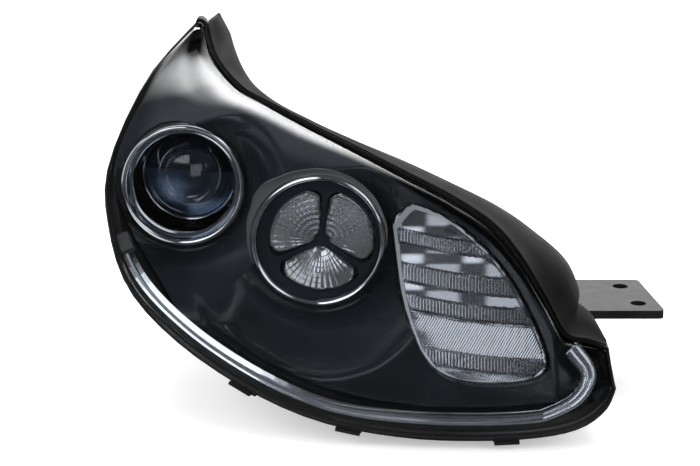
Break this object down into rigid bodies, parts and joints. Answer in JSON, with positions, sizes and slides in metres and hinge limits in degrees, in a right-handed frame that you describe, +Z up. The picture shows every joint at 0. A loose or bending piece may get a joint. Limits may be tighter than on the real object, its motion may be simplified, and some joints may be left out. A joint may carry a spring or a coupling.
{
  "type": "car headlight assembly",
  "caption": "Right-hand car headlamp: clear lens over an aimable projector, a three-petal LED high beam, a banded flasher and a lower light bar, in a black housing.",
  "frame": {"origin": "centre of the circle through the two screw holes, in the top face of the inner mounting bracket", "axes": "+Z up and along the bracket's screws, -Y towards the front of the car, +X towards the grille"},
  "size_m": [0.4245, 0.3674, 0.2661],
  "materials": {
    "housing_plastic": "moulded black, matt",
    "clear_lens": "clear hard-coated polycarbonate",
    "sealant": "hot-melt bead",
    "clip_plastic": "moulded black",
    "seal_rubber": "soft matt rubber",
    "bezel_gloss": "gloss black",
    "bright_steel": "zinc plated",
    "chrome_trim": "vacuum metallised",
    "black_metal": "satin black",
    "optic_glass": "polished optical glass",
    "bright_reflector": "vacuum metallised",
    "quartz": "quartz",
    "white_plastic": "moulded, off-white",
    "navy_gloss": "gloss dark navy",
    "clear_optic": "clear moulded optics",
    "board_green": "solder mask",
    "cast_aluminium": "as cast",
    "amber_glass": "amber bulb",
    "contact_metal": "tinned",
    "bracket_metal": "black powder coat",
    "dark_plastic": "moulded dark grey"
  },
  "bodies": {
    "root": {"housing": "housing_plastic", "outer_lens": "clear_lens", "lens_sealant": "sealant", "lens_clips": "clip_plastic", "hood_seal": "seal_rubber", "bezel": "bezel_gloss", "bezel_screws": "bright_steel", "projector_collar": "chrome_trim", "frame_pivot_pins": "bright_steel", "level_motor": "dark_plastic", "side_adjuster_housing": "dark_plastic", "high_beam_pod": "navy_gloss", "high_beam_ring": "chrome_trim", "high_beam_face": "navy_gloss", "petal_left": "clear_optic", "petal_right": "clear_optic", "petal_lower": "clear_optic", "high_beam_board": "board_green", "heat_sink": "cast_aluminium", "turn_reflector": "bright_reflector", "turn_inner_lens": "clear_optic", "light_guide": "clear_optic", "guide_rail": "bright_reflector", "guide_led_module": "dark_plastic", "mounting_bracket": "bracket_metal", "bracket_screws": "bright_steel", "mount_bushings": "bright_steel", "connector_socket": "dark_plastic", "connector_pins": "contact_metal", "vent_caps": "dark_plastic", "led_driver": "cast_aluminium", "driver_screws": "bright_steel"},
    "aim_frame": {"aim_frame": "black_metal", "yaw_pins": "bright_steel"},
    "projector": {"lens_holder": "black_metal", "projector_lens": "optic_glass", "lens_retainer": "chrome_trim", "projector_reflector": "bright_reflector", "low_beam_bulb": "quartz", "bulb_clip": "bright_steel", "holder_screws": "bright_steel", "solenoid_body": "dark_plastic"},
    "shutter": {"shutter_flap": "bright_steel"},
    "plunger": {"solenoid_plunger": "bright_steel"},
    "level_rod": {"level_rod": "white_plastic"},
    "vertical_adjuster": {"vertical_adjuster": "white_plastic"},
    "side_stud": {"side_stud": "white_plastic"},
    "side_adjuster": {"side_adjuster": "white_plastic"},
    "cap_seal": {"cap_seal": "seal_rubber"},
    "low_beam_cap": {"low_beam_cap": "dark_plastic"},
    "turn_seal": {"turn_seal": "seal_rubber"},
    "turn_socket": {"turn_socket": "dark_plastic", "turn_bulb": "amber_glass"}
  },
  "joints": [
    {"name": "frame_pitch", "type": "hinge", "parent": "root", "child": "aim_frame", "pos_m": [-0.34, 0.075, 0.0875], "axis": [1, 0, 0], "range_deg": [-2.5, 2.5]},
    {"name": "projector_yaw", "type": "hinge", "parent": "aim_frame", "child": "projector", "pos_m": [-0.34, 0.075, 0.0875], "axis": [0, 0, 1], "range_deg": [-2.5, 2.5]},
    {"name": "shutter_tilt", "type": "hinge", "parent": "projector", "child": "shutter", "pos_m": [-0.34, 0.049, 0.0605], "axis": [1, 0, 0], "range_deg": [-20, 0], "stiffness_Nm_per_rad": 0.02, "springref_deg": 22.92},
    {"name": "plunger_slide", "type": "slide", "parent": "projector", "child": "plunger", "axis": [0, 1, 0], "range_m": [-0.005, 0.0001]},
    {"name": "level_rod_slide", "type": "slide", "parent": "root", "child": "level_rod", "axis": [0, 1, 0], "range_m": [-0.0019, 0.0019]},
    {"name": "vertical_adjuster_turn", "type": "hinge", "parent": "root", "child": "vertical_adjuster", "pos_m": [-0.368, 0.1969, 0.028], "axis": [0, 1, 0], "range_deg": [-151, 151]},
    {"name": "side_stud_slide", "type": "slide", "parent": "root", "child": "side_stud", "axis": [0, 1, 0], "range_m": [-0.002, 0.002]},
    {"name": "side_adjuster_turn", "type": "hinge", "parent": "root", "child": "side_adjuster", "pos_m": [-0.295, 0.1778, 0.0875], "axis": [0, 1, 0], "range_deg": [-151, 151]},
    {"name": "cap_pull", "type": "slide", "parent": "root", "child": "cap_seal", "axis": [0, 1, 0], "range_m": [0, 0.05]},
    {"name": "cap_twist", "type": "hinge", "parent": "cap_seal", "child": "low_beam_cap", "pos_m": [-0.34, 0.16, 0.0975], "axis": [0, 1, 0], "range_deg": [0, 45]},
    {"name": "turn_pull", "type": "slide", "parent": "root", "child": "turn_seal", "axis": [0, 1, 0], "range_m": [0, 0.07]},
    {"name": "turn_twist", "type": "hinge", "parent": "turn_seal", "child": "turn_socket", "pos_m": [-0.127, -0.002, 0.022], "axis": [0, 1, 0], "range_deg": [0, 30]}
  ],
  "couplings": [
    {"joint": "level_rod_slide", "follows": "frame_pitch", "m_per_rad": 0.043},
    {"joint": "vertical_adjuster_turn", "follows": "frame_pitch", "ratio": 60},
    {"joint": "side_stud_slide", "follows": "projector_yaw", "m_per_rad": 0.045},
    {"joint": "side_adjuster_turn", "follows": "projector_yaw", "ratio": 60},
    {"joint": "plunger_slide", "follows": "shutter_tilt", "m_per_rad": 0.0135}
  ]
}
